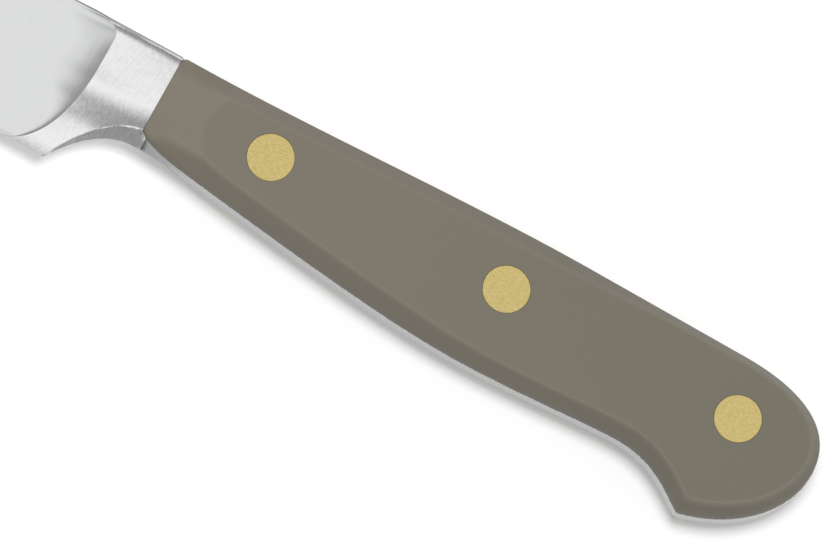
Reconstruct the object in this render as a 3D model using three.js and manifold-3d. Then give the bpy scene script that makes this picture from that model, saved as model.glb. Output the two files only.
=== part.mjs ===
// A forged sausage knife: blade, bolster and full tang in one piece of steel, two moulded
// handle scales, and three two-piece brass rivets that hold the scales on the tang.
// Millimetres. The knife lies on its right scale. +X runs from the point to the butt,
// +Y from the cutting edge to the spine, and +Z up, out of the left scale.
// Sizes are measured from the front end of the scales (x = 0), from the line through the
// rivets (y = 0) and from the middle of the tang (z = 0).

import * as THREE from "three";
import { mergeVertices } from "three/addons/utils/BufferGeometryUtils.js";
import Module from "manifold-3d";

const wasm = await Module();
wasm.setup();

// Blade
const BLADE_LENGTH = 140; // point to heel
const HEEL_SETBACK = 10.4; // heel to the front end of the scales
const SPINE_HEIGHT = 7.1; // spine above the rivet line, also the front of the handle's back
const EDGE_DROP = 14.5; // straight edge below the rivet line
const BELLY_LENGTH = 62; // stretch of the edge that curves up to the point
const BELLY_PULL = 30; // how far the belly keeps the line of the straight edge
const POINT_DROP = 1.4; // point below the spine line
const POINT_FALL = 34; // stretch of the spine that falls to the point
const POINT_FLAT = 1.0; // blunt height of the point
const SPINE_THICKNESS = 2.4; // at the bolster
const POINT_THICKNESS = 0.9; // spine thickness at the point
const GRIND_THICKNESS = 0.34; // behind the edge
const EDGE_THICKNESS = 0.08; // the edge itself
const EDGE_ANGLE = THREE.MathUtils.degToRad(13); // one side of the sharpened edge

// Scalloped edge, ground from the left face
const SCALLOP_START = 16; // plain edge in front of the heel
const SCALLOP_END = 5; // plain edge behind the point
const SCALLOP_PITCH = 5.5;
const SCALLOP_DEPTH = 1.1;
const SCALLOP_ANGLE = THREE.MathUtils.degToRad(14); // grinding wheel to the blade face

// Bolster
const BOLSTER_THICKNESS = 7.5; // where it meets the scales
const RIDGE_THICKNESS = 6.8; // at the ridge where the blade's grind ends
const RIDGE_SETBACK = 9.6; // middle of the ridge to the front end of the scales
const RIDGE_EDGE_SWEEP = 7.6; // ridge swings forward towards the edge
const RIDGE_SPINE_SWEEP = 6.5; // ridge swings forward towards the spine
const RIDGE_SPINE_START = 4.4; // height where that upper swing begins
const GRIND_FILLET = 3.8; // width of the hollow in front of the ridge
const GRIND_FILLET_TURN = THREE.MathUtils.degToRad(66); // how steep the hollow gets
const FOOT_THICKNESS = 5.2; // finger guard below the neck
const HEEL_THICKNESS = 1.2; // finger guard at the heel
const NECK_STEP = -3.9; // middle of the step from neck to finger guard
const NECK_STEP_WIDTH = 3.6;
const FINGER_PULL = 5.7; // how far the finger arc keeps level under the neck
const FINGER_CROWN = 3.8; // the arc is rounded across: its rise at the bolster's full thickness
const NECK_CHAMFER = 0.8; // chamfer along the bolster's back
const NECK_CROWN_RADIUS = 51; // crown of the neck and of the scales' front slope

// Handle
const HANDLE_LENGTH = 105.3;
const HANDLE_THICKNESS = 12;
const TANG_THICKNESS = 3.2;
const BACK_CREST_SETBACK = 42; // highest stretch of the back, from the butt
const BACK_CREST = 9.18; // its height above the rivet line
const SHOULDER_SETBACK = 16.5; // start of the round butt, from the butt
const SHOULDER = 9.02;
const BUTT_HEIGHT = -1; // hindmost point
const HOOK_SETBACK = 13.8; // tip of the hook, from the butt
const HOOK_DROP = 15.1;
const WAIST_SETBACK = 26.3; // narrow place in front of the hook, from the butt
const WAIST_DROP = 9.98;
const BELLY_GRIP_START = 53.3; // deepest place of the grip, from the front
const BELLY_GRIP_DROP = 11.2;
const THROAT_LENGTH = 4.1; // short lower front end of the grip
const THROAT_DROP = 6.45;
const THROAT_FRONT_DROP = 6.5; // lower front corner of the tang, top of the finger arc
const FACE_SLOPE_LENGTH = 7; // scales slope down to the bolster over this length
const BEVEL_INSET = 2.46; // bevel round the scales, measured along the face
const BEVEL_RISE = 3.16; // the same bevel, measured across the thickness
const BEVEL_SOFTNESS = 2.4; // radius of the soft ridge between bevel and face
const HOOK_ROUND = 0.75; // corner roundings, measured back from the corner
const THROAT_ROUND = 4;

// Fullness of the outline's curves: how far each keeps its direction, as a share of its stretch
const BACK_FULLNESS = { front: 0.32, crest: 0.67 };
const BUTT_FULLNESS = { top: 0.59, end: 0.3, low: 0.4 };
const HOOK_FULLNESS = { rear: 0.64, rearRise: 0.15, front: 0.29, frontRise: 0.51 };
const GRIP_FULLNESS = { hook: 0.53, waist: 0.2, belly: 0.62, front: 0.27, throat: 0.68 };
const THROAT_FULLNESS = 0.4;

// Rivets
const FRONT_RIVET_SETBACK = 17.5; // from the front end of the scales
const RIVET_PITCH = 37.8; // front rivet to middle rivet
const REAR_RIVET_SETBACK = 12.9; // from the butt
const RIVET_HEAD = 6.8;
const RIVET_HEAD_DEPTH = 1.6;
const RIVET_SLEEVE = 4.4;
const RIVET_POST = 3.0;
const RIVET_CLEARANCE = 0.05; // all round each rivet and its post
const RIVET_END_GAP = 0.3; // at the ends of post and sleeve

// Facets
const CURVE_STEPS = 9;
const ROUND_STEPS = 3;
const CIRCLE_SIDES = 32;
const SWEEP_ROWS = 12;
const CHAMFER_ROWS = 3;
const FILLET_STEPS = 5;
const BOLSTER_STEPS = 7;
const SCALLOP_STEPS = 5;
const CROWN_STEPS = 5;
const ROUND_LIMIT = 0.9; // a rounding takes at most this share of the line on either side
const MITRE_LIMIT = 0.5; // least cosine of half a corner's turn that an inset follows
const MERGE_DISTANCE = 1e-4;

// Values that follow from the sizes above
const HEEL_X = -HEEL_SETBACK;
const POINT_X = HEEL_X - BLADE_LENGTH;
const RIDGE_X = -RIDGE_SETBACK;
const POINT_HEIGHT = SPINE_HEIGHT - POINT_DROP;
const TANG_FACE = TANG_THICKNESS / 2;
const HANDLE_FACE = HANDLE_THICKNESS / 2;
const BOLSTER_FACE = BOLSTER_THICKNESS / 2;
const BEVEL_FOOT = HANDLE_FACE - BEVEL_RISE;
const BEVEL_SLOPE = BEVEL_RISE / BEVEL_INSET;
const NECK_CHAMFER_SLOPE = (BOLSTER_FACE - BEVEL_FOOT) / NECK_CHAMFER;
const NECK_MIDDLE = (SPINE_HEIGHT - THROAT_FRONT_DROP) / 2;
const HEAD_FLOOR = HANDLE_FACE - RIVET_HEAD_DEPTH;
const { lerp, clamp, smoothstep } = THREE.MathUtils;

const STEEL = { color: 0xc9cbcc, metalness: 1, roughness: 0.34 };
const SCALE_PLASTIC = { color: 0x7e7769, metalness: 0, roughness: 0.55 };
const BRASS = { color: 0xcfbd7c, metalness: 1, roughness: 0.38 };

// Turns a closed geometry into a solid that can be joined and cut.
function solidOf(geometry) {
  const bare = geometry.clone();
  bare.deleteAttribute("normal");
  bare.deleteAttribute("uv");
  const merged = mergeVertices(bare, MERGE_DISTANCE);
  return new wasm.Manifold(
    new wasm.Mesh({
      numProp: 3,
      vertProperties: merged.getAttribute("position").array,
      triVerts: new Uint32Array(merged.index.array),
    }),
  );
}

// Turns a finished solid back into a geometry.
function geometryOf(solid) {
  const { vertProperties, triVerts } = solid.getMesh();
  return new THREE.BufferGeometry()
    .setAttribute("position", new THREE.BufferAttribute(vertProperties, 3))
    .setIndex(new THREE.BufferAttribute(triVerts, 1));
}

// A closed skin over rings of equally many points, with flat ends. Seen flattened, each ring
// runs anticlockwise, and the rings are stacked towards the viewer.
function loft(rings, flatten) {
  const count = rings[0].length;
  const last = (rings.length - 1) * count;
  const index = [];
  for (let start = 0; start < last; start += count) {
    for (let i = 0; i < count; i++) {
      const a = start + i;
      const b = start + ((i + 1) % count);
      index.push(a, b, b + count, a, b + count, a + count);
    }
  }
  for (const [a, b, c] of THREE.ShapeUtils.triangulateShape(rings[0].map(flatten), [])) {
    index.push(a, c, b);
  }
  for (const [a, b, c] of THREE.ShapeUtils.triangulateShape(rings.at(-1).map(flatten), [])) {
    index.push(last + a, last + b, last + c);
  }
  return new THREE.BufferGeometry().setFromPoints(rings.flat()).setIndex(index);
}

// A plate of the given outline, with its middle at z = 0.
function plate(shape, thickness) {
  const geometry = new THREE.ExtrudeGeometry(shape, {
    depth: thickness,
    bevelEnabled: false,
    curveSegments: CIRCLE_SIDES / 2,
  });
  return geometry.translate(0, 0, -thickness / 2);
}

// Rivet places along the handle
const RIVETS = {
  front: FRONT_RIVET_SETBACK,
  middle: FRONT_RIVET_SETBACK + RIVET_PITCH,
  rear: HANDLE_LENGTH - REAR_RIVET_SETBACK,
};

// Outline of the grip as an open line from the front of its back, round the butt and the hook,
// to its lower front corner.
function gripLine() {
  const crest = HANDLE_LENGTH - BACK_CREST_SETBACK;
  const shoulder = HANDLE_LENGTH - SHOULDER_SETBACK;
  const hook = HANDLE_LENGTH - HOOK_SETBACK;
  const waist = HANDLE_LENGTH - WAIST_SETBACK;
  const line = new THREE.Path();
  line.moveTo(0, SPINE_HEIGHT);
  line.bezierCurveTo(
    crest * BACK_FULLNESS.front, SPINE_HEIGHT,
    crest * BACK_FULLNESS.crest, BACK_CREST,
    crest, BACK_CREST,
  );
  line.lineTo(shoulder, SHOULDER);
  line.bezierCurveTo(
    lerp(shoulder, HANDLE_LENGTH, BUTT_FULLNESS.top), SHOULDER,
    HANDLE_LENGTH, lerp(SHOULDER, BUTT_HEIGHT, BUTT_FULLNESS.end),
    HANDLE_LENGTH, BUTT_HEIGHT,
  );
  line.bezierCurveTo(
    HANDLE_LENGTH, lerp(BUTT_HEIGHT, -HOOK_DROP, BUTT_FULLNESS.low),
    lerp(hook, HANDLE_LENGTH, HOOK_FULLNESS.rear),
    lerp(-HOOK_DROP, BUTT_HEIGHT, HOOK_FULLNESS.rearRise),
    hook, -HOOK_DROP,
  );
  line.bezierCurveTo(
    lerp(hook, waist, HOOK_FULLNESS.front),
    lerp(-HOOK_DROP, -WAIST_DROP, HOOK_FULLNESS.frontRise),
    lerp(hook, waist, GRIP_FULLNESS.hook), -WAIST_DROP,
    waist, -WAIST_DROP,
  );
  line.bezierCurveTo(
    lerp(waist, BELLY_GRIP_START, GRIP_FULLNESS.waist), -WAIST_DROP,
    lerp(waist, BELLY_GRIP_START, GRIP_FULLNESS.belly), -BELLY_GRIP_DROP,
    BELLY_GRIP_START, -BELLY_GRIP_DROP,
  );
  line.bezierCurveTo(
    lerp(BELLY_GRIP_START, THROAT_LENGTH, GRIP_FULLNESS.front), -BELLY_GRIP_DROP,
    lerp(BELLY_GRIP_START, THROAT_LENGTH, GRIP_FULLNESS.throat),
    lerp(-THROAT_DROP, -BELLY_GRIP_DROP, THROAT_FULLNESS),
    THROAT_LENGTH, -THROAT_DROP,
  );
  line.lineTo(0, -THROAT_FRONT_DROP);
  return line.getPoints(CURVE_STEPS);
}

// The grip line moved inwards by an inset, with its two ends kept on the front plane.
function insetLine(points, inset) {
  return points.map((point, i) => {
    const before = points[Math.max(i - 1, 0)];
    const after = points[Math.min(i + 1, points.length - 1)];
    const incoming = point.clone().sub(before).normalize();
    const outgoing = after.clone().sub(point).normalize();
    const heading = incoming.clone().add(outgoing).normalize();
    const edge = incoming.lengthSq() > 0 ? incoming : outgoing;
    const reach = inset / Math.max(heading.dot(edge), MITRE_LIMIT);
    const x = point.x + heading.y * reach;
    const y = point.y - heading.x * reach;
    const end = i === 0 || i === points.length - 1;
    return new THREE.Vector2(end ? 0 : x, y);
  });
}

// Replaces one corner of a line by a short curve that starts and ends a setback away from it.
function roundCorner(points, corner, setback) {
  const at = points[corner];
  const ends = [points[corner - 1], points[(corner + 1) % points.length]].map((neighbour) => {
    const way = neighbour.clone().sub(at);
    return at.clone().add(way.setLength(Math.min(setback, way.length() * ROUND_LIMIT)));
  });
  const curve = new THREE.QuadraticBezierCurve(ends[0], at, ends[1]);
  points.splice(corner, 1, ...curve.getPoints(ROUND_STEPS));
}

// Outline ring of a scale at one height: the grip line moved inwards, with its hook and its
// lower front corner rounded.
function scaleRing(line, inset, z) {
  const ring = insetLine(line, inset);
  const hook = line.reduce((low, point, i) => (point.y < line[low].y ? i : low), 0);
  roundCorner(ring, ring.length - 1, THROAT_ROUND);
  roundCorner(ring, hook, HOOK_ROUND);
  return ring.reverse().map((point) => new THREE.Vector3(point.x, point.y, z));
}

// Left scale: wall, bevel, soft ridge and flat face as a stack of rings, with the slope down to
// the bolster and the stepped rivet holes cut out of it.
function scaleGeometry() {
  const line = gripLine();
  const rings = [scaleRing(line, 0, TANG_FACE), scaleRing(line, 0, BEVEL_FOOT)];
  const turn = Math.atan(BEVEL_SLOPE);
  const setback = BEVEL_SOFTNESS * Math.tan(turn / 2);
  for (let i = 0; i <= ROUND_STEPS; i++) {
    const angle = turn * (1 - i / ROUND_STEPS);
    const inset = BEVEL_INSET + setback - BEVEL_SOFTNESS * Math.sin(angle);
    const z = HANDLE_FACE - BEVEL_SOFTNESS * (1 - Math.cos(angle));
    rings.push(scaleRing(line, inset, z));
  }
  let scale = solidOf(loft(rings, (p) => new THREE.Vector2(p.x, p.y)));
  scale = scale.subtract(solidOf(faceSlopeCutter()));
  for (const x of Object.values(RIVETS)) {
    scale = scale.subtract(solidOf(rivetHoleCutter().translate(x, 0, 0)));
  }
  return geometryOf(scale);
}

// Removes everything above a crowned slope from the bolster up to the face of the scale.
function faceSlopeCutter() {
  const slope = Math.atan2(HANDLE_FACE - BOLSTER_FACE, FACE_SLOPE_LENGTH);
  const halfWidth = EDGE_DROP;
  const spread = Math.asin(halfWidth / NECK_CROWN_RADIUS);
  const section = new THREE.Shape();
  section.moveTo(halfWidth, HANDLE_FACE);
  section.lineTo(-halfWidth, HANDLE_FACE);
  section.absarc(
    0, -NECK_CROWN_RADIUS, NECK_CROWN_RADIUS,
    Math.PI / 2 + spread, Math.PI / 2 - spread, true,
  );
  const reach = 2 * FACE_SLOPE_LENGTH;
  const cutter = new THREE.ExtrudeGeometry(section, {
    depth: 2 * reach,
    bevelEnabled: false,
    curveSegments: CURVE_STEPS,
  });
  cutter.translate(0, 0, -reach);
  const across = new THREE.Vector3(0, 1, 0);
  const out = new THREE.Vector3(-Math.sin(slope), 0, Math.cos(slope));
  const along = new THREE.Vector3(Math.cos(slope), 0, Math.sin(slope));
  const place = new THREE.Matrix4().makeBasis(across, out, along);
  place.setPosition(0, NECK_MIDDLE, BOLSTER_FACE);
  return cutter.applyMatrix4(place);
}

// A turned piece about the z axis from its half section, as [radius, height] pairs.
function turned(section) {
  const profile = section.map(([radius, height]) => new THREE.Vector2(radius, height));
  return new THREE.LatheGeometry(profile, CIRCLE_SIDES).rotateX(Math.PI / 2);
}

// Hole for the sleeve with a flat-bottomed seat for the rivet's head.
function rivetHoleCutter() {
  const hole = RIVET_SLEEVE / 2 + RIVET_CLEARANCE;
  const seat = RIVET_HEAD / 2 + RIVET_CLEARANCE;
  const above = HANDLE_FACE + RIVET_HEAD_DEPTH;
  return turned([
    [0, 0],
    [hole, 0],
    [hole, HEAD_FLOOR],
    [seat, HEAD_FLOOR],
    [seat, above],
    [0, above],
  ]);
}

// Rivet half with a solid post: its head lies flush in the left scale.
function postGeometry() {
  const head = RIVET_HEAD / 2;
  const post = RIVET_POST / 2;
  return turned([
    [0, RIVET_END_GAP - HEAD_FLOOR],
    [post, RIVET_END_GAP - HEAD_FLOOR],
    [post, HEAD_FLOOR],
    [head, HEAD_FLOOR],
    [head, HANDLE_FACE],
    [0, HANDLE_FACE],
  ]);
}

// Rivet half with a bored sleeve: its head lies flush in the right scale.
function sleeveGeometry() {
  const head = RIVET_HEAD / 2;
  const sleeve = RIVET_SLEEVE / 2;
  const bore = RIVET_POST / 2 + RIVET_CLEARANCE;
  return turned([
    [0, -HANDLE_FACE],
    [head, -HANDLE_FACE],
    [head, -HEAD_FLOOR],
    [sleeve, -HEAD_FLOOR],
    [sleeve, HEAD_FLOOR - RIVET_END_GAP],
    [bore, HEAD_FLOOR - RIVET_END_GAP],
    [bore, -HEAD_FLOOR],
    [0, -HEAD_FLOOR],
  ]);
}

// Tang: the grip's full outline as a flat plate with rivet holes, rooted inside the bolster.
function tangGeometry() {
  const line = gripLine();
  const root = RIDGE_X / 2;
  line.push(new THREE.Vector2(root, -THROAT_FRONT_DROP / 2));
  line.push(new THREE.Vector2(root, SPINE_HEIGHT / 2));
  const shape = new THREE.Shape(line);
  const hole = RIVET_SLEEVE / 2 + RIVET_CLEARANCE;
  for (const x of Object.values(RIVETS)) {
    shape.holes.push(new THREE.Path().absarc(x, 0, hole, 0, 2 * Math.PI));
  }
  return plate(shape, TANG_THICKNESS);
}

// Cutting edge from the heel to the point: a straight stretch and the belly
const HEEL = new THREE.Vector2(HEEL_X, -EDGE_DROP);
const BELLY_START = new THREE.Vector2(POINT_X + BELLY_LENGTH, -EDGE_DROP);
const BELLY = new THREE.QuadraticBezierCurve(
  BELLY_START,
  new THREE.Vector2(POINT_X + BELLY_PULL, -EDGE_DROP),
  new THREE.Vector2(POINT_X, POINT_HEIGHT - POINT_FLAT),
);
const EDGE = new THREE.CurvePath();
EDGE.add(new THREE.LineCurve(HEEL, BELLY_START));
EDGE.add(BELLY);

// Height of the spine at a place along the blade
function spineHeight(x) {
  const fall = clamp((POINT_X + POINT_FALL - x) / POINT_FALL, 0, 1);
  return SPINE_HEIGHT - POINT_DROP * fall * fall;
}

// Half thickness of the ground blade at a point above the edge
function bladeHalf(x, y, edge) {
  const spine = spineHeight(x);
  const along = clamp((RIDGE_X - x) / (RIDGE_X - POINT_X), 0, 1);
  const back = lerp(SPINE_THICKNESS, POINT_THICKNESS, along) / 2;
  const ground = lerp(GRIND_THICKNESS / 2, back, (y - edge) / (spine - edge));
  return Math.min(ground, EDGE_THICKNESS / 2 + (y - edge) * Math.tan(EDGE_ANGLE));
}

// Half thickness of the bolster, from the ridge (share 0) to the scales (share 1): a crowned
// neck with a chamfered back, stepping down to the thin finger guard.
function bolsterHalf(share, y) {
  const crown = (share * (y - NECK_MIDDLE) ** 2) / (2 * NECK_CROWN_RADIUS);
  const loss = lerp(BOLSTER_THICKNESS - RIDGE_THICKNESS, 0, share) / 2;
  const neck = BOLSTER_FACE - loss - crown;
  const chamfer = BEVEL_FOOT - loss + (SPINE_HEIGHT - y) * NECK_CHAMFER_SLOPE;
  const guard = (y + EDGE_DROP) / (EDGE_DROP + NECK_STEP);
  const foot = lerp(HEEL_THICKNESS, FOOT_THICKNESS, clamp(guard, 0, 1)) / 2;
  const reach = NECK_STEP_WIDTH / 2;
  const step = smoothstep(y, NECK_STEP - reach, NECK_STEP + reach);
  return Math.min(lerp(foot, neck, step), chamfer);
}

// How far the ridge lies in front of its middle: two quarter ellipses with a straight between.
function ridgeSwing(y) {
  const low = clamp(-y / EDGE_DROP, 0, 1);
  const high = clamp((y - RIDGE_SPINE_START) / (SPINE_HEIGHT - RIDGE_SPINE_START), 0, 1);
  const lowSwing = RIDGE_EDGE_SWEEP * (1 - Math.sqrt(1 - low * low));
  const highSwing = RIDGE_SPINE_SWEEP * (1 - Math.sqrt(1 - high * high));
  return -lowSwing - highSwing;
}

// Heights of the rows that run along the blade and the bolster, from edge to spine, closer
// together where the ridge turns.
function rowHeights() {
  const rows = [];
  for (let i = 0; i <= SWEEP_ROWS; i++) {
    rows.push(-EDGE_DROP * Math.cos((i / SWEEP_ROWS) * (Math.PI / 2)));
  }
  rows.push(RIDGE_SPINE_START / 2, RIDGE_SPINE_START);
  const rise = SPINE_HEIGHT - RIDGE_SPINE_START;
  const chamfer = Math.asin(1 - NECK_CHAMFER / rise);
  for (const [from, to] of [[0, chamfer], [chamfer, Math.PI / 2]]) {
    for (let i = 1; i <= CHAMFER_ROWS; i++) {
      rows.push(RIDGE_SPINE_START + rise * Math.sin(lerp(from, to, i / CHAMFER_ROWS)));
    }
  }
  return rows;
}

// Blade and bolster as one loft of upright sections. Towards the bolster the sections bow with
// the ridge, so that its crest and the ground hollow in front of it come out clean.
function bladeGeometry() {
  const rows = rowHeights();
  const shares = rows.map((y) => (y + EDGE_DROP) / (SPINE_HEIGHT + EDGE_DROP));
  const section = (place) => {
    const left = rows.map((row, i) => place(row, shares[i]));
    const right = left.map((p) => new THREE.Vector3(p.x, p.y, -p.z));
    return [...right, ...left.reverse()];
  };
  const blade = (x, edge, bow) =>
    section((row, share) => {
      const y = lerp(edge, spineHeight(x), share);
      const bowed = x + bow * ridgeSwing(row);
      return new THREE.Vector3(bowed, y, bladeHalf(bowed, y, edge));
    });
  const belly = BELLY.getPoints(CURVE_STEPS).reverse();
  const rings = belly.map((p) => blade(p.x, p.y, 0));
  const hollow = RIDGE_X - GRIND_FILLET;
  for (let i = 1; i <= CURVE_STEPS; i++) {
    const share = i / CURVE_STEPS;
    rings.push(blade(lerp(BELLY_START.x, hollow, share), -EDGE_DROP, share ** 2));
  }
  for (let i = 1; i < FILLET_STEPS; i++) {
    const angle = (i / FILLET_STEPS) * GRIND_FILLET_TURN;
    const along = Math.sin(angle) / Math.sin(GRIND_FILLET_TURN);
    const rise = (1 - Math.cos(angle)) / (1 - Math.cos(GRIND_FILLET_TURN));
    rings.push(
      section((y) => {
        const x = lerp(hollow, RIDGE_X, along) + ridgeSwing(y);
        return new THREE.Vector3(x, y, lerp(bladeHalf(x, y, -EDGE_DROP), bolsterHalf(0, y), rise));
      }),
    );
  }
  for (let i = 0; i <= BOLSTER_STEPS; i++) {
    const share = i / BOLSTER_STEPS;
    rings.push(
      section((y) => {
        const x = (RIDGE_X + ridgeSwing(y)) * (1 - share);
        return new THREE.Vector3(x, y, bolsterHalf(share, y));
      }),
    );
  }
  return loft(rings, (p) => new THREE.Vector2(p.y, p.z));
}

// Removes what lies below the finger arc. The arc is rounded across the knife, so it is a stack
// of arcs that rise from the middle to both sides, and that run out under the front of the tang.
function fingerCutter() {
  const below = -EDGE_DROP - HANDLE_THICKNESS;
  const rings = [];
  for (let i = -CROWN_STEPS; i <= CROWN_STEPS; i++) {
    const z = (i / CROWN_STEPS) * HANDLE_FACE;
    const top = FINGER_CROWN * (z / BOLSTER_FACE) ** 2 - THROAT_FRONT_DROP;
    const arc = new THREE.QuadraticBezierCurve(
      new THREE.Vector2(0, top),
      new THREE.Vector2(-FINGER_PULL, top),
      HEEL,
    );
    const ring = arc.getPoints(CURVE_STEPS);
    ring.push(new THREE.Vector2(HEEL_X, below));
    ring.push(new THREE.Vector2(THROAT_LENGTH, below));
    ring.push(new THREE.Vector2(THROAT_LENGTH, -THROAT_DROP));
    rings.push(ring.map((p) => new THREE.Vector3(p.x, p.y, z)));
  }
  return loft(rings, (p) => new THREE.Vector2(p.x, p.y));
}

// One hollow of the scalloped edge: a slice of a grinding wheel's rim that lies at a low angle to
// the left face, wide enough to meet its neighbours in points. The edge runs along x at y = 0.
function scallopCutter() {
  const taper = (SPINE_THICKNESS - GRIND_THICKNESS) / 2 / (SPINE_HEIGHT + EDGE_DROP);
  const sag = SCALLOP_DEPTH * (Math.tan(SCALLOP_ANGLE) + taper) * Math.cos(SCALLOP_ANGLE);
  const radius = ((SCALLOP_PITCH / 2) ** 2 + sag ** 2) / (2 * sag);
  const spread = 2 * Math.asin(SCALLOP_PITCH / 2 / radius);
  const rim = new THREE.Shape();
  rim.absarc(0, radius, radius, -Math.PI / 2 - spread, -Math.PI / 2 + spread, false);
  const reach = 2 * SCALLOP_PITCH;
  const cutter = new THREE.ExtrudeGeometry(rim, {
    depth: 2 * reach,
    bevelEnabled: false,
    curveSegments: SCALLOP_STEPS,
  });
  cutter.translate(0, 0, -reach);
  const along = new THREE.Vector3(-1, 0, 0);
  const out = new THREE.Vector3(0, -Math.sin(SCALLOP_ANGLE), Math.cos(SCALLOP_ANGLE));
  const up = new THREE.Vector3(0, Math.cos(SCALLOP_ANGLE), Math.sin(SCALLOP_ANGLE));
  const place = new THREE.Matrix4().makeBasis(along, out, up);
  place.setPosition(0, SCALLOP_DEPTH, -GRIND_THICKNESS / 2);
  return cutter.applyMatrix4(place);
}

// The forging: blade, bolster and tang, relieved by the finger arc and the scallops.
function forgingGeometry() {
  let forging = solidOf(bladeGeometry()).add(solidOf(tangGeometry()));
  forging = forging.subtract(solidOf(fingerCutter()));
  const length = EDGE.getLength();
  const count = Math.floor((length - SCALLOP_START - SCALLOP_END) / SCALLOP_PITCH);
  for (let i = 0; i < count; i++) {
    const share = (SCALLOP_START + (i + 0.5) * SCALLOP_PITCH) / length;
    const place = EDGE.getPointAt(share);
    const heading = EDGE.getTangentAt(share);
    const cutter = scallopCutter().rotateZ(Math.atan2(-heading.y, -heading.x));
    forging = forging.subtract(solidOf(cutter.translate(place.x, place.y, 0)));
  }
  return geometryOf(forging);
}

// A named piece with its own material.
function piece(name, geometry, finish) {
  const mesh = new THREE.Mesh(geometry, new THREE.MeshStandardMaterial(finish));
  mesh.name = name;
  return mesh;
}

// Assembly in the sizes' own frame
const assembly = new THREE.Group();
assembly.add(piece("blade_forging", forgingGeometry(), STEEL));
const leftScale = piece("left_scale", scaleGeometry(), SCALE_PLASTIC);
const rightScale = piece("right_scale", leftScale.geometry, SCALE_PLASTIC);
rightScale.scale.z = -1;
assembly.add(leftScale, rightScale);
for (const [place, x] of Object.entries(RIVETS)) {
  const post = piece(`${place}_rivet_post`, postGeometry(), BRASS);
  const sleeve = piece(`${place}_rivet_sleeve`, sleeveGeometry(), BRASS);
  post.position.x = x;
  sleeve.position.x = x;
  assembly.add(post, sleeve);
}

// The knife's origin lies under the middle of its box, on the surface that it rests on.
const box = new THREE.Box3().setFromObject(assembly);
const middle = box.getCenter(new THREE.Vector3());
assembly.position.set(-middle.x, -middle.y, -box.min.z);
const knife = new THREE.Group();
knife.add(assembly);

export default knife;
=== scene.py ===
# %% [markdown]
# # A sausage knife, from its solids to its finish
#
# This lesson dresses a knife that was designed in CAD. The designer's solids come in as a fixed
# frame, in metres: they say how long the handle is and where the rivets sit. Blender adds what a
# solid can't show, such as fine curves, brushed steel, moulded plastic and ground brass.
#
# The knife lies on its right scale. +X runs from the point to the butt, +Y from the cutting edge
# to the spine, and +Z up, out of the left scale.

# %% Load the frame
import math

import bmesh
import bpy
from mathutils import Matrix, Vector
from mathutils.geometry import interpolate_bezier
from mathutils.kdtree import KDTree


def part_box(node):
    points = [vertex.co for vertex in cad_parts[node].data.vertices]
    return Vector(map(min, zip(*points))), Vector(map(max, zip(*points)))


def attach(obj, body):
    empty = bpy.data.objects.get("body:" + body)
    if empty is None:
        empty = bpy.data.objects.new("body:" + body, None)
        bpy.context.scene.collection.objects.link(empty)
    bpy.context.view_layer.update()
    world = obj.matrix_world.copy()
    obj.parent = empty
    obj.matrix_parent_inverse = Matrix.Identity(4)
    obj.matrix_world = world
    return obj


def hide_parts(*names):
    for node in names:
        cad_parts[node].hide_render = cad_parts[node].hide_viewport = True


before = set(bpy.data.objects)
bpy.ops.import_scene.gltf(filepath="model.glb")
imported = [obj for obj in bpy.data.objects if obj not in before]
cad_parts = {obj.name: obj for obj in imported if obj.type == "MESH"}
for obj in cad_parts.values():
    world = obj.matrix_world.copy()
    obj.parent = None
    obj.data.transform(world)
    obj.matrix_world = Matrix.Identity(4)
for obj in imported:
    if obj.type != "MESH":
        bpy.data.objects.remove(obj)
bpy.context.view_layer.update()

print("solids:", ", ".join(sorted(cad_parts)))

# %% [markdown]
# ## A ruler on the knife
#
# A knife maker measures from the front end of the handle scales, from the line through the rivets
# and from the middle of the tang, in millimetres. We could write every place in the frame's own
# metres, but then no number would look like a size on a drawing. So each piece is modelled in the
# maker's coordinates, and one matrix carries it into the frame. Whatever the solids already know,
# such as the length of the handle, is read from their boxes.

# %% Read the main sizes from the solids
MM = 0.001

scale_low, scale_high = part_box("left_scale")
forging_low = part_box("blade_forging")[0]
TANG_MIDDLE = (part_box("right_scale")[0].z + scale_high.z) / 2


def middle_of(node):
    low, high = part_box(node)
    return (low + high) / 2


RIVET_PLACES = ("front", "middle", "rear")
RIVET_LINE = middle_of("front_rivet_post").y
ORIGIN = Vector((scale_low.x, RIVET_LINE, TANG_MIDDLE))
TO_FRAME = Matrix.Translation(ORIGIN) @ Matrix.Scale(MM, 4)


def to_maker(point):
    return (point - ORIGIN) / MM


HANDLE_LENGTH = (scale_high.x - scale_low.x) / MM
HANDLE_FACE = to_maker(scale_high).z
TANG_FACE = to_maker(scale_low).z
POINT_X = to_maker(forging_low).x
RIVETS = [to_maker(middle_of(f"{place}_rivet_post")).x for place in RIVET_PLACES]
print(f"handle {HANDLE_LENGTH:.1f} mm, point at {POINT_X:.1f}, rivets at",
      ", ".join(f"{x:.1f}" for x in RIVETS))

# %% [markdown]
# ## The camera
#
# The photograph looks almost straight down on the knife, but leans a little towards its edge, so
# that a strip of the tang shows below the handle. The picture is also turned, because the knife
# slopes down to the right. We could turn the knife, but its solids must not move, so the camera
# takes the lean and the turn. A long lens from far away keeps the handle's sides parallel, as they
# are in the picture.

# %% Place the camera
IMAGE_WIDTH = 833
PIXELS_PER_MM = 7.15
SENSOR_WIDTH = 36
CAMERA_DISTANCE = 3000 * MM
CAMERA_LEAN = math.radians(12.5)
KNIFE_SLOPE = math.radians(29.22)
PICTURE_CENTRE = Vector((43.5, -4.83, HANDLE_FACE))

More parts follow.
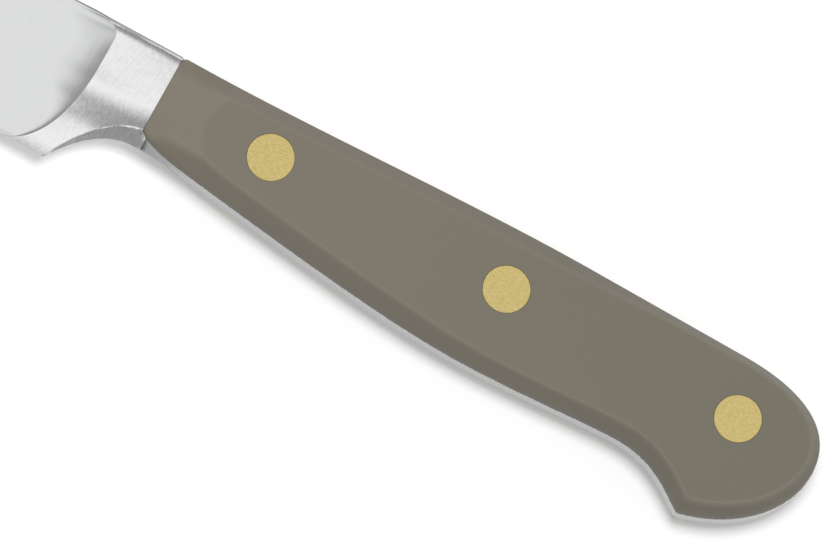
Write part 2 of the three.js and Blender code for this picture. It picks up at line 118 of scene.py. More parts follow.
towards_camera = Vector((0, -math.sin(CAMERA_LEAN), math.cos(CAMERA_LEAN)))
along_knife = Vector((1, 0, 0))
across_knife = towards_camera.cross(along_knife)
picture_right = along_knife * math.cos(KNIFE_SLOPE) + across_knife * math.sin(KNIFE_SLOPE)
picture_up = towards_camera.cross(picture_right)

camera = bpy.data.objects.new("camera", bpy.data.cameras.new("camera"))
camera.data.sensor_width = SENSOR_WIDTH
camera.data.lens = (SENSOR_WIDTH * CAMERA_DISTANCE / MM) / (IMAGE_WIDTH / PIXELS_PER_MM)
turn = Matrix((picture_right, picture_up, towards_camera)).transposed()
camera.matrix_world = (
    Matrix.Translation(TO_FRAME @ PICTURE_CENTRE + towards_camera * CAMERA_DISTANCE)
    @ turn.to_4x4()
)
bpy.context.scene.collection.objects.link(camera)
bpy.context.scene.camera = camera
bpy.context.scene.view_settings.view_transform = "Standard"
print(f"lens {camera.data.lens:.0f} mm")

# %% [markdown]
# ## Shader maths as Python
#
# A material is a graph of nodes, and a graph that is wired one socket at a time is hard to read.
# Here one small class wraps a socket. Python's own operators on it add Math nodes, so `1 - mask`
# is a node that subtracts, and its method `node` adds any other kind: first the node's settings,
# then the values or links of its sockets.


# %% A socket that can be added and multiplied
class Shade:
    def __init__(self, tree, socket=None):
        self.tree = tree
        self.socket = socket

    def node(self, kind, settings=(), values=(), output=0):
        node = self.tree.nodes.new(kind)
        for name, value in dict(settings).items():
            setattr(node, name, value)
        for name, value in dict(values).items():
            if isinstance(value, Shade):
                self.tree.links.new(value.socket, node.inputs[name])
            else:
                node.inputs[name].default_value = with_alpha(node.inputs[name], value)
        return Shade(self.tree, node.outputs[output]) if node.outputs else node

    def maths(self, operation, first, second=0):
        return self.node("ShaderNodeMath", {"operation": operation}, {0: first, 1: second})

    def __add__(self, other):
        return self.maths("ADD", self, other)

    def __sub__(self, other):
        return self.maths("SUBTRACT", self, other)

    def __rsub__(self, other):
        return self.maths("SUBTRACT", other, self)

    def __mul__(self, other):
        return self.maths("MULTIPLY", self, other)

    __radd__ = __add__
    __rmul__ = __mul__


def with_alpha(socket, value):
    return tuple(value) + (1,) if socket.type == "RGBA" and len(value) == 3 else value


# %% [markdown]
# ## A white table and a soft sky
#
# The photograph has a pure white ground and one soft shadow on the side of the edge. A floor of
# plain white paint never renders as pure white, because it only returns the light that it gets. So
# the floor adds a little light of its own, but only for rays that come from the camera or from a
# mirror: it looks white, it still takes the shadow, and it throws no extra light on the knife.

# %% Make the floor
FLOOR_SIZE = 6.0
FLOOR_CELLS = 8
FLOOR_PAINT = 0.79
FLOOR_GLOW = 0.27


def start_material(name):
    material = bpy.data.materials.new(name)
    material.use_nodes = True
    material.node_tree.nodes.clear()
    return material, Shade(material.node_tree)


def is_seen(shade):
    rays = ("Is Camera Ray", "Is Glossy Ray", "Is Transmission Ray")
    camera_ray, mirror_ray, glass_ray = (shade.node("ShaderNodeLightPath", output=ray) for ray in rays)
    return camera_ray + mirror_ray + glass_ray


floor_paint, shade = start_material("floor_paint")
paint = shade.node("ShaderNodeBsdfDiffuse", values={"Color": (FLOOR_PAINT,) * 3})
glow = shade.node("ShaderNodeEmission", values={"Strength": is_seen(shade) * FLOOR_GLOW})
both = shade.node("ShaderNodeAddShader", values={0: paint, 1: glow})
shade.node("ShaderNodeOutputMaterial", values={"Surface": both})

bm = bmesh.new()
bmesh.ops.create_grid(bm, x_segments=FLOOR_CELLS, y_segments=FLOOR_CELLS, size=FLOOR_SIZE)
floor = bpy.data.objects.new("floor", bpy.data.meshes.new("floor"))
bm.to_mesh(floor.data)
bm.free()
floor.data.materials.append(floor_paint)
bpy.context.scene.collection.objects.link(floor)
print("floor:", floor.dimensions[:])

# %% [markdown]
# Steel shows what is around it, so the sky is what paints the blade. In a photographer's light
# tent the roof is the brightest thing and the walls are greyer. That gives flat steel its white,
# and it gives steel that turns away, such as the hollow in front of the bolster, its grey. The roof
# is a long panel over the knife, so it fades slowly along the knife and quickly across it. Plastic
# doesn't mirror the tent, so for all other rays the sky is one even, plain light.

# %% Make the sky
ROOF_LIGHT = 1.38
WALL_LIGHT = 0.4
ROOF_LEAN = math.radians(5)
ROOF_START = math.radians(2)
ROOF_END = math.radians(62)
ROOF_STRETCH = 0.32
EVEN_LIGHT = 0.52

world = bpy.data.worlds.new("light_tent")
bpy.context.scene.world = world
world.use_nodes = True
world.node_tree.nodes.clear()
shade = Shade(world.node_tree)


def vector_maths(shade, operation, first, second=(0, 0, 0), output="Vector"):
    return shade.node("ShaderNodeVectorMath", {"operation": operation}, {0: first, 1: second}, output)


direction = shade.node("ShaderNodeTexCoord", output="Generated")
stretched = vector_maths(shade, "MULTIPLY", direction, (ROOF_STRETCH, 1, 1))
panel = vector_maths(shade, "NORMALIZE", stretched)
roof = (0, math.sin(ROOF_LEAN), math.cos(ROOF_LEAN))
away = shade.maths("ARCCOSINE", vector_maths(shade, "DOT_PRODUCT", panel, roof, output="Value"))
roof_share = shade.node("ShaderNodeMapRange", {"interpolation_type": "SMOOTHSTEP"},
                        {"Value": away, "From Min": ROOF_END, "From Max": ROOF_START})
tent = WALL_LIGHT + roof_share * (ROOF_LIGHT - WALL_LIGHT)
seen = is_seen(shade)
sky = shade.node("ShaderNodeBackground", values={"Strength": EVEN_LIGHT + seen * (tent - EVEN_LIGHT)})
shade.node("ShaderNodeOutputWorld", values={"Surface": sky})
print("sky:", len(world.node_tree.nodes), "nodes")

# %% [markdown]
# One large lamp hangs above the knife. It fills the light up to its plain level, at which a colour
# renders about as it is written, and it draws the soft shadow below the cutting edge. Its panel would
# show in the steel as a hard white disc, so it is hidden from mirrors.

# %% Add the lamp
LAMP_PLACE = Vector((0.08, 0.03, 1.1))
LAMP_SIZE = 0.34
LAMP_POWER = 7.4

lamp = bpy.data.objects.new("lamp", bpy.data.lights.new("lamp", "AREA"))
lamp.data.shape = "DISK"
lamp.data.size = LAMP_SIZE
lamp.data.energy = LAMP_POWER
lamp.location = LAMP_PLACE
lamp.rotation_euler = LAMP_PLACE.to_track_quat("Z", "Y").to_euler()
lamp.visible_glossy = False
bpy.context.scene.collection.objects.link(lamp)
print(f"lamp at {LAMP_PLACE.length:.2f} m")

# %% [markdown]
# ## Brushed steel
#
# The maker draws the blade and the bolster over an abrasive belt that runs across the knife. The
# belt leaves fine parallel scratches, and each one tilts the surface a little, so that the edge of
# a reflection breaks up into streaks. One noise texture, squeezed along the knife and stretched
# across it, is such a scratch pattern. It tilts the surface through a Bump node and also varies
# the roughness. Three finishes come from it: long, shallow scratches on the blade, short, deep ones
# on the bolster, and scratches along the knife for the narrow edges of the neck's spine and of the
# tang. That last steel is a darker copy: its darkness is painted shade, for the shadowed floor and
# dim walls that these edges mirror.

# %% Mix the steel
SCRATCH_DETAIL = 3.0
SCRATCH_SPREAD = 0.2


def grain(shade, size_x, size_y, size_z, detail=2.0):
    place = shade.node("ShaderNodeTexCoord", output="Object")
    squeeze = (1 / (size_x * MM), 1 / (size_y * MM), 1 / (size_z * MM))
    squeezed = shade.node("ShaderNodeMapping", values={"Vector": place, "Scale": squeeze})
    return shade.node("ShaderNodeTexNoise",
                      values={"Vector": squeezed, "Scale": 1.0, "Detail": detail})


def blend(shade, share, first, second):
    return shade.node("ShaderNodeMix", {"data_type": "RGBA"},
                      {0: share, 6: first, 7: second}, output=2)


def bump(shade, height, depth):
    return shade.node("ShaderNodeBump",
                      values={"Height": height, "Distance": depth * MM, "Strength": 1.0})


def socket_name(word):
    return word.replace("_", " ").title().replace("Ior", "IOR")


def surface(shade, **values):
    names = {socket_name(word): value for word, value in values.items()}
    body = shade.node("ShaderNodeBsdfPrincipled", values=names)
    shade.node("ShaderNodeOutputMaterial", values={"Surface": body})


def mix_steel(name, light, dark, width, length, depth, roughness):
    material, shade = start_material(name)
    scratches = grain(shade, width, length, length, SCRATCH_DETAIL)
    surface(shade, base_color=blend(shade, scratches, dark, light), metallic=1.0,
            roughness=roughness + scratches * SCRATCH_SPREAD, normal=bump(shade, scratches, depth))
    print(f"{name}: {len(material.node_tree.nodes)} nodes")
    return material


blade_steel = mix_steel("ground_blade_steel", (0.77, 0.775, 0.78), (0.63, 0.635, 0.64),
                        width=0.2, length=11.0, depth=0.014, roughness=0.2)
bolster_steel = mix_steel("brushed_bolster_steel", (0.87, 0.87, 0.87), (0.75, 0.755, 0.755),
                          width=0.25, length=1.6, depth=0.11, roughness=0.14)
# A darker copy of the steel: painted shade on edges that mirror the shadowed floor and dim walls.
shaded_edge_steel = mix_steel("painted_shade_edge_steel", (0.375, 0.38, 0.385), (0.275, 0.28, 0.285),
                       width=3.0, length=0.25, depth=0.004, roughness=0.1)

# %% [markdown]
# ## Moulded plastic
#
# The scales are a hard grey-brown plastic, moulded and then sanded to a satin, with a faint cloud in
# its colour, since one colour would look like paint. Painted shade makes the colour a little darker
# from front to butt, where less light falls on the face, and painted highlights make the creases and
# the front slope lighter. So the share of the way along the handle, moved by a cloud noise, blends
# two colours for the plain plastic and two lighter ones for the painted highlights. A fine sanded
# grain breaks up the shine: a small noise varies the roughness and drives a very shallow bump.

# %% Mix the plastic
# Painted shade: the plastic's colour darkens from front to butt, where less light falls on the face.
LIT_PLASTIC_FRONT = (0.206, 0.184, 0.147)
SHADED_PLASTIC_REAR = (0.179, 0.1645, 0.1295)
# Painted highlight colours: the light lines on the creases and the lighter front slope.
HIGHLIGHT_FRONT = (0.241, 0.215, 0.173)
HIGHLIGHT_REAR = (0.227, 0.209, 0.165)
CLOUD_SIZE = (24, 9, 9)
CLOUD_SHARE = 0.3
SANDING_SIZE = (0.25, 0.25, 0.25)
SANDING_DEPTH = 0.006
SANDING_SPREAD = 0.16
PLASTIC_ROUGHNESS = 0.4
PLASTIC_SHINE = 0.15

plastic, shade = start_material("satin_plastic")
cloud = grain(shade, *CLOUD_SIZE)
sanding = grain(shade, *SANDING_SIZE)
# The mask of the painted highlights, kept on the scales' mesh.
polish = shade.node("ShaderNodeAttribute", {"attribute_name": "polish"}, output="Fac")
place = shade.node("ShaderNodeTexCoord", output="Object")
along = shade.node("ShaderNodeSeparateXYZ", values={"Vector": place}, output="X")
towards_butt = shade.node("ShaderNodeMapRange",
                          values={"Value": along, "From Min": scale_low.x, "From Max": scale_high.x})
share = towards_butt + (cloud - 0.5) * CLOUD_SHARE
body_colour = blend(shade, share, LIT_PLASTIC_FRONT, SHADED_PLASTIC_REAR)
highlight_colour = blend(shade, share, HIGHLIGHT_FRONT, HIGHLIGHT_REAR)
surface(shade, base_color=blend(shade, polish, body_colour, highlight_colour),
        roughness=PLASTIC_ROUGHNESS + sanding * SANDING_SPREAD, specular_ior_level=PLASTIC_SHINE,
        normal=bump(shade, sanding, SANDING_DEPTH))
print("plastic:", len(plastic.node_tree.nodes), "nodes")

# %% [markdown]
# ## Ground brass
#
# The rivet heads are ground flush together with the scales, along the handle. Brass is soft, so the
# belt tears short bright and dark flecks into it. The same noise as on the steel, turned to run
# along the knife and much shorter, moves the colour between a pale and a deep brass.

# %% Mix the brass
BRASS_LIGHT = (0.73, 0.60, 0.26)
BRASS_DEEP = (0.52, 0.41, 0.15)
BRASS_ROUGHNESS = 0.26
FLECK_SIZE = (0.7, 0.15, 0.15)
FLECK_DEPTH = 0.01
FLECK_LOW = 0.3
FLECK_HIGH = 0.7

brass, shade = start_material("ground_brass")
flecks = grain(shade, *FLECK_SIZE, SCRATCH_DETAIL)
contrast = shade.node("ShaderNodeMapRange",
                      values={"Value": flecks, "From Min": FLECK_LOW, "From Max": FLECK_HIGH})
surface(shade, base_color=blend(shade, contrast, BRASS_DEEP, BRASS_LIGHT), metallic=1.0,
        roughness=BRASS_ROUGHNESS + flecks * SCRATCH_SPREAD, normal=bump(shade, flecks, FLECK_DEPTH))
print("brass:", len(brass.node_tree.nodes), "nodes")

# %% [markdown]
# ## The outline of the grip
#
# Tang and scales are ground together on the finished knife, so they share one outline: a back that
# rises slowly to the shoulder, a round butt, a hook that stops the hand and a belly for the palm.
# A few Bezier curves carry it, and each handle's place is given as a share of the way between the
# ends of its curve. The outline is kept as an upper and a lower line, both from front to butt.

# %% Draw the outline
BACK_FRONT = Vector((0, 7.2))
BACK_CREST = Vector((HANDLE_LENGTH - 42, 9.18))
SHOULDER = Vector((HANDLE_LENGTH - 16.5, 9.02))
BUTT = Vector((HANDLE_LENGTH, -1))
HOOK = Vector((HANDLE_LENGTH - 14.1, -15.1))
WAIST = Vector((HANDLE_LENGTH - 26.3, -10.13))
PALM = Vector((53.3, -11.4))
THROAT = Vector((4.1, -6.6))
CURVE_STEPS = 160


def between(start, end, along, rise):
    return Vector((start.x + (end.x - start.x) * along, start.y + (end.y - start.y) * rise))


def curve(start, end, first, second):
    return interpolate_bezier(start, between(start, end, *first), between(start, end, *second),
                              end, CURVE_STEPS)


upper_line = curve(BACK_FRONT, BACK_CREST, (0.32, -0.06), (0.67, 1))
upper_line += curve(SHOULDER, BUTT, (0.59, 0), (1, 0.3))
lower_line = curve(THROAT, PALM, (0.32, 0.4), (0.73, 1))
lower_line += curve(PALM, WAIST, (0.38, 0), (0.8, 1))[1:]
lower_line += curve(WAIST, HOOK, (0.47, 0), (0.71, 0.49))[1:]
lower_line += curve(HOOK, BUTT, (0.64, 0.15), (1, 0.6))[1:]


def height_at(line, x):
    for start, end in zip(line, line[1:]):
        if x <= end.x:
            share = (x - start.x) / (end.x - start.x)
            return start.y + (end.y - start.y) * share
    return line[-1].y


print(f"grip {height_at(upper_line, WAIST.x) - WAIST.y:.1f} mm high at the waist")

# %% [markdown]
# ## The scales
#
# A scale is flat against the tang and flat outside, with a wide bevel all round, a soft ridge
# between bevel and face, and a front end that slopes down to the bolster. The bevel flares towards
# the front end and is narrower at the rear. Cut and bevelled edges would do for the bevel, but not
# for the place where slope, bevel and ridge run into each other. So we lay a fine grid over the
# outline and lift each point to a height: the lowest of bevel, slope and face, with the corners
# between them melted by a smooth minimum. The front end carries on the rounds of the bolster's neck,
# so these are described here too.

# %% The height of a scale
BEVEL_FOOT = 2.84
UPPER_INSET = 2.5
LOWER_INSET = 2.1
LOW_BLEND = 10.0
REAR_INSET = 1.6
BUTT_INSET = 1.38
UPPER_NARROWING = (58.0, 82.0)
LOWER_NARROWING = (40.0, 62.0)
BUTT_NARROWING = (84.0, 97.0)
UPPER_FLARE = (5.9, 9.5, 1.8)
LOWER_FLARE = (1.9, 13.0, 1.3)
UPPER_SETBACK = 0.28
LOWER_SETBACK = 1.2
RIDGE_SOFTNESS = 0.38
FRONT_HEIGHT = 3.75
SLOPE_LENGTH = 7.1
SLOPE_SOFTNESS = 0.2
SLOPE_CROWN = 1.3
SLOPE_CROWN_END = 1.3
CROWN_RADIUS = 51.0
CROWN_MIDDLE = 0.3
ROUND_RADIUS = 6.0
ROUND_SLOPE = 0.5
ROUND_FRONT = -1.55
ROUND_REAR = -1.0
ROUND_FADE = 3.5
TOP_START = 5.52
TOP_RADIUS = 2.0
CHAMFER_START = 6.71
CHAMFER_SLOPE = 1.1


def clamp(value):
    return min(max(value, 0), 1)


def mix(first, second, share):
    return first + (second - first) * share


def ease(value):
    value = clamp(value)
    return value * value * (3 - 2 * value)


def smooth_min(first, second, softness):
    overlap = max(softness - abs(first - second), 0) / softness
    return min(first, second) - overlap * overlap * softness / 4


def low_share(rim_point):
    return clamp(0.5 - rim_point.y / LOW_BLEND)


def rear_share(x, start, end):
    return ease((x - start) / (end - start))


def flare(x, widest, end, power):
    return widest * clamp(1 - x / end) ** power


def bevel_inset(rim_point, x):
    upper = mix(UPPER_INSET, REAR_INSET, rear_share(rim_point.x, *UPPER_NARROWING))
    lower = mix(LOWER_INSET, REAR_INSET, rear_share(rim_point.x, *LOWER_NARROWING))
    upper += flare(x, *UPPER_FLARE)
    lower += flare(x, *LOWER_FLARE)
    inset = mix(upper, lower, low_share(rim_point))
    return mix(inset, BUTT_INSET, rear_share(rim_point.x, *BUTT_NARROWING))


def bevel_height(rim_point, inset, x):
    slope = math.atan((HANDLE_FACE - BEVEL_FOOT) / bevel_inset(rim_point, x))
    setback = mix(UPPER_SETBACK, LOWER_SETBACK, low_share(rim_point))
    radius = setback / math.tan((math.pi / 2 - slope) / 2)
    if inset > setback * math.cos(slope):
        return BEVEL_FOOT + math.tan(slope) * inset
    return BEVEL_FOOT - setback + math.sqrt(radius ** 2 - (radius - inset) ** 2)


def neck_crown(y):
    return (y - CROWN_MIDDLE) ** 2 / (2 * CROWN_RADIUS)


def neck_rounds(y, start):
    below = max(start - y, 0)
    turned = min(below, ROUND_SLOPE * ROUND_RADIUS)
    lower = turned ** 2 / (2 * ROUND_RADIUS) + ROUND_SLOPE * (below - turned)
    above = clamp((y - TOP_START) / (CHAMFER_START - TOP_START)) * (CHAMFER_START - TOP_START)
    return lower + above ** 2 / (2 * TOP_RADIUS) + CHAMFER_SLOPE * max(y - CHAMFER_START, 0)


def slope_height(x, y):
    share = x / SLOPE_LENGTH
    drop = neck_crown(y) * (1 + SLOPE_CROWN * min(share, SLOPE_CROWN_END))
    drop += neck_rounds(y, ROUND_REAR) * clamp(1 - x / ROUND_FADE)
    return mix(FRONT_HEIGHT, HANDLE_FACE, share) - drop


def scale_height(slope, bevel):
    front = smooth_min(slope, HANDLE_FACE, SLOPE_SOFTNESS)
    return min(smooth_min(front, bevel, RIDGE_SOFTNESS), HANDLE_FACE)


print(f"bevel {UPPER_INSET:.1f} mm wide along the back, {BUTT_INSET:.1f} mm round the butt")

# %% [markdown]
# The creases show as fine light lines, and these are painted highlights in the plastic's colour: one
# where the bevel meets the face, and a bowed one where the front slope does. The whole front slope is
# painted a little lighter too, as the light that it catches. A line belongs where two of the heights
# are equal. So each point also keeps a number that says how close it is to that, and the plastic
# reads this number as an attribute of the mesh.

# %% The painted highlights on the creases
RIDGE_STEP = 0.42
BUTT_STEP = 0.8
UPPER_HIGHLIGHT = 0.6
LOWER_HIGHLIGHT = 0.8
REAR_HIGHLIGHT = 0.9
SLOPE_STEP = 0.12
SLOPE_HIGHLIGHT_LINE = 0.4
SLOPE_HIGHLIGHT_FIELD = 0.7


def near(first, second, step):
    return math.exp(-((first - second) / step) ** 2)


# How much painted highlight a point gets: a light line on each crease, and a lighter front slope.
def crease_highlight(slope, bevel, rim_point):
    front = min(slope, HANDLE_FACE)
    strength = mix(UPPER_HIGHLIGHT, LOWER_HIGHLIGHT, low_share(rim_point))
    strength = mix(strength, REAR_HIGHLIGHT, rear_share(rim_point.x, *UPPER_NARROWING))
    step = mix(RIDGE_STEP, BUTT_STEP, rear_share(rim_point.x, *BUTT_NARROWING))
    slope_highlight = SLOPE_HIGHLIGHT_LINE * near(slope, HANDLE_FACE, SLOPE_STEP)
    slope_highlight += SLOPE_HIGHLIGHT_FIELD * clamp((HANDLE_FACE - slope) / SLOPE_STEP)
    return strength * near(front, bevel, step) + slope_highlight * clamp((bevel - front) / RIDGE_STEP)


print(f"a crease fades over {RIDGE_STEP:.2f} mm of height, {BUTT_STEP:.2f} mm at the butt")

# %% [markdown]
# The bevel's height depends on how far a point lies inside the rim. Offsetting the whole outline
# inwards would give steps, where we want a smooth number for each point. So the rim is a chain of
# short sides: a KD tree finds its closest corner, and the two sides that meet there are measured.
# The rim of a scale also has rounded front corners, one at the spine and one at the finger arc.

# %% Measure how far a point lies inside the outline
CORNER_TOP = Vector((0, -4.6))
CORNER_END_X = 6.5
TOP_ROUND = 0.75


def part_behind(line, x):
    return [Vector((x, height_at(line, x)))] + [point for point in line if point.x > x]


upper_part = part_behind(upper_line, TOP_ROUND)
lower_part = part_behind(lower_line, CORNER_END_X)
top_corner = curve(BACK_FRONT - Vector((0, TOP_ROUND)), upper_part[0], (0, 0.55), (0.45, 1))
low_corner = curve(CORNER_TOP, lower_part[0], (0.08, 0.37), (0.4, 0.72))
scale_upper_line = top_corner + upper_part[1:]
scale_lower_line = low_corner + lower_part[1:]
rim = [point.to_3d() for point in scale_upper_line + scale_lower_line[::-1]]
rim_tree = KDTree(len(rim))
for number, point in enumerate(rim):
    rim_tree.insert(point, number)
rim_tree.balance()


def nearest_on_rim(point):
    nearest, number, _ = rim_tree.find(point)
    for start, end in zip(rim[max(number - 1, 0):number + 1], rim[number:number + 2]):
        side = end - start
        if side.length > 0:
            share = clamp((point - start).dot(side) / side.length_squared)
            candidate = start + side * share
            if (candidate - point).length < (nearest - point).length:
                nearest = candidate
    return nearest, (nearest - point).length


print(f"rim of {len(rim)} points")

# %% [markdown]
# The grid starts as a flat square. Its columns become upright lines through the outline and its rows
# run from front to butt, both crowded towards their ends, where the shape turns fastest. One column
# is moved onto the hook, so that its corner stays sharp. At the butt the last column shrinks to a
# point, so its doubled corners are merged. Then the open border is extruded down to the tang and the
# bottom is filled: a closed solid.

# %% Lay the grid over the outline
SCALE_COLUMNS = 260
SCALE_ROWS = 84
MERGE_DISTANCE = 0.0005


def crowd(share):
    return (1 - math.cos(math.pi * share)) / 2


def make_scale(bm):
    bmesh.ops.create_grid(bm, x_segments=SCALE_COLUMNS, y_segments=SCALE_ROWS, size=1)
    polish = bm.verts.layers.float.new("polish")
    columns = {}
    for vert in bm.verts:
        column = round((vert.co.x + 1) / 2 * SCALE_COLUMNS)
        columns.setdefault(column, []).append(vert)
    places = {column: HANDLE_LENGTH * crowd(column / SCALE_COLUMNS) for column in columns}
    hook_column = min(places, key=lambda column: abs(places[column] - HOOK.x))
    places[hook_column] = HOOK.x
    for column, verts in columns.items():
        x = places[column]
        low = height_at(scale_lower_line, x)
        high = height_at(scale_upper_line, x)
        for vert in verts:
            y = low + (high - low) * crowd((vert.co.y + 1) / 2)
            rim_point, inset = nearest_on_rim(Vector((x, y, 0)))
            slope = slope_height(x, y)
            bevel = bevel_height(rim_point, inset, x)
            vert.co = (x, y, scale_height(slope, bevel))
            vert[polish] = crease_highlight(slope, bevel, rim_point)
    bmesh.ops.remove_doubles(bm, verts=bm.verts, dist=MERGE_DISTANCE)
    border = [edge for edge in bm.edges if edge.is_boundary]
    wall = bmesh.ops.extrude_edge_only(bm, edges=border)["geom"]
    foot = [part for part in wall if isinstance(part, bmesh.types.BMVert)]
    for vert in foot:
        vert.co.z = TANG_FACE
    bmesh.ops.contextual_create(bm, geom=[edge for edge in bm.edges if edge.is_boundary])


print(f"a grid of {SCALE_COLUMNS} by {SCALE_ROWS} faces")

# %% [markdown]
# Every piece goes through the same last steps. The matrix carries it into the frame, and its normals
# are turned outward. A mirrored or hollow piece can still come out inside out, which its signed
# volume tells. Then all is shaded smooth, apart from edges sharper than a small angle.

# %% Finish a piece
SHARP_ANGLE = math.radians(16)


def finish_piece(name, bm, material, transform=TO_FRAME):
    bm.transform(transform)
    bmesh.ops.recalc_face_normals(bm, faces=bm.faces)
    if bm.calc_volume(signed=True) < 0:
        bmesh.ops.reverse_faces(bm, faces=bm.faces)
    mesh = bpy.data.meshes.new(name)
    bm.to_mesh(mesh)
    bm.free()
    mesh.materials.append(material)
    piece = bpy.data.objects.new(name, mesh)
    bpy.context.scene.collection.objects.link(piece)
    return piece


def smooth_piece(piece):
    piece.data.shade_smooth()
    piece.data.set_sharp_from_angle(angle=SHARP_ANGLE)


print(f"edges of more than {math.degrees(SHARP_ANGLE):.0f} degrees stay sharp")

# %% [markdown]
# Each rivet needs a hole for its sleeve and a shallow seat for its head. The hole is a stepped pin
# of empty space, so we spin its profile about the rivet's axis and take it away with a Boolean.

# %% Make the holes for the rivets
HEAD_RADIUS = 3.4
HEAD_DEPTH = 1.6
SLEEVE_RADIUS = 2.2
CLEARANCE = 0.02
SPIN_STEPS = 96


def spin_profile(bm, x, profile):
    verts = [bm.verts.new((x + radius, 0, z)) for radius, z in profile]
    edges = [bm.edges.new(pair) for pair in zip(verts, verts[1:])]
    bmesh.ops.spin(bm, geom=verts + edges, cent=(x, 0, 0), axis=(0, 0, 1), angle=2 * math.pi,
                   steps=SPIN_STEPS, use_merge=True)
    bmesh.ops.remove_doubles(bm, verts=bm.verts, dist=MERGE_DISTANCE)


def cut_away(piece, cutter):
    modifier = piece.modifiers.new("cut", "BOOLEAN")
    modifier.operation = "DIFFERENCE"
    modifier.solver = "EXACT"
    modifier.object = cutter
    depsgraph = bpy.context.evaluated_depsgraph_get()
    rough = piece.data
    piece.data = bpy.data.meshes.new_from_object(piece.evaluated_get(depsgraph))
    piece.modifiers.clear()
    piece.data.name = rough.name
    bpy.data.meshes.remove(rough)


def remove_piece(piece):
    mesh = piece.data
    bpy.data.objects.remove(piece)
    bpy.data.meshes.remove(mesh)


def make_holes(bm):
    hole = SLEEVE_RADIUS + CLEARANCE
    seat = HEAD_RADIUS + CLEARANCE
    floor_height = HANDLE_FACE - HEAD_DEPTH
    top = HANDLE_FACE + HEAD_DEPTH
    for x in RIVETS:
        spin_profile(bm, x, [(0, -top), (seat, -top), (seat, -floor_height), (hole, -floor_height),
                             (hole, floor_height), (seat, floor_height), (seat, top), (0, top)])


bm = bmesh.new()
make_holes(bm)
holes = finish_piece("holes", bm, brass)
print("holes:", len(holes.data.polygons), "faces")

# %% [markdown]
# The right scale is the mirror image of the left one. A Mirror modifier would join both into one
# piece, but on the real knife they are two. So the same grid is laid twice, and the second one is
# flipped at the middle of the tang.

# %% Make both scales
MIRROR = Matrix.Scale(-1, 4, Vector((0, 0, 1)))

pieces = {}
for name, flip in (("left_scale", Matrix.Identity(4)), ("right_scale", MIRROR)):
    bm = bmesh.new()
    make_scale(bm)
    piece = finish_piece(f"{name}_moulding", bm, plastic, TO_FRAME @ flip)
    cut_away(piece, holes)
    smooth_piece(piece)
    pieces[name] = piece
    print(name, len(piece.data.polygons), "faces")

# %% [markdown]
# ## The rivets
#
# A rivet is two turned halves: a head with a post, and a head with a sleeve that the post is driven
# into. Both are spun from half a section. The rim of each head is broken by a tiny chamfer, which
# catches the light as a thin line between brass and plastic.

# %% Turn the rivets
POST_RADIUS = 1.5
END_GAP = 0.3
RIM_BREAK = 0.04


def rivet_head(inner):
    floor_height = HANDLE_FACE - HEAD_DEPTH
    return [(inner, floor_height), (HEAD_RADIUS, floor_height), (HEAD_RADIUS, HANDLE_FACE - RIM_BREAK),
            (HEAD_RADIUS - RIM_BREAK, HANDLE_FACE), (0, HANDLE_FACE)]


def make_post(bm, x):
    end = END_GAP + HEAD_DEPTH - HANDLE_FACE
    spin_profile(bm, x, [(0, end), (POST_RADIUS, end)] + rivet_head(POST_RADIUS))


def make_sleeve(bm, x):
    end = END_GAP + HEAD_DEPTH - HANDLE_FACE
    bore = POST_RADIUS + CLEARANCE
    bore_floor = HANDLE_FACE - HEAD_DEPTH
    spin_profile(bm, x, [(0, bore_floor), (bore, bore_floor), (bore, end), (SLEEVE_RADIUS, end)]
                 + rivet_head(SLEEVE_RADIUS))


for place, x in zip(RIVET_PLACES, RIVETS):
    for half, make, flip in (("post", make_post, Matrix.Identity(4)), ("sleeve", make_sleeve, MIRROR)):
        bm = bmesh.new()
        make(bm, x)
        piece = finish_piece(f"{place}_brass_{half}", bm, brass, TO_FRAME @ flip)
        smooth_piece(piece)
        pieces[f"{place}_rivet_{half}"] = piece
print(len(pieces), "pieces so far")

# %% [markdown]
# ## The blade and its edge
#
# Blade, bolster and tang are one forging. The blade tapers twice, from spine to edge and from heel
# to point. Its lower line is straight from the heel and then sweeps up to the point in a belly. We
# describe each line as a height above the rivets for a place along the knife.

# %% The lines of the blade
SPINE = 7.22
EDGE = -14.5
HEEL_X = -10.4
BELLY_LENGTH = 62.0
BELLY_PULL = 30.0
POINT_DROP = 1.4
POINT_FALL = 34.0
POINT_FLAT = 1.0
SPINE_HALF = 1.2
POINT_HALF = 0.45
GRIND_HALF = 0.17
EDGE_HALF = 0.04
EDGE_SLOPE = math.tan(math.radians(13))


def share_on_arc(reach, start, pull, end):
    bend = start - 2 * pull + end
    lean = 2 * (pull - start)
    return 2 * (reach - start) / (lean + math.sqrt(max(lean ** 2 + 4 * bend * (reach - start), 0)))


def spine_height(x):
    return SPINE - POINT_DROP * clamp((POINT_X + POINT_FALL - x) / POINT_FALL) ** 2


def edge_height(x):
    behind_belly = x - (POINT_X + BELLY_LENGTH)
    if behind_belly >= 0:
        return EDGE
    share = share_on_arc(-behind_belly, 0, BELLY_LENGTH - BELLY_PULL, BELLY_LENGTH)
    return mix(EDGE, spine_height(POINT_X) - POINT_FLAT, share ** 2)


def blade_half(x, y):
    edge = edge_height(x)
    back = mix(SPINE_HALF, POINT_HALF, clamp(x / POINT_X))
    rise = clamp((y - edge) / (spine_height(x) - edge))
    return min(mix(GRIND_HALF, back, rise), EDGE_HALF + (y - edge) * EDGE_SLOPE)


print(f"edge at the point {edge_height(POINT_X):.2f}, spine {spine_height(POINT_X):.2f}")

# %% [markdown]
# The cutting edge of a sausage knife is scalloped, and only on one face. A round stone is pressed
# into that face again and again, so each scallop is a piece of a leaning cylinder. Away from the
# edge the cylinder comes out of the face by itself. So the left face of the blade is simply the
# lower of the flat grind and the nearest cylinders.

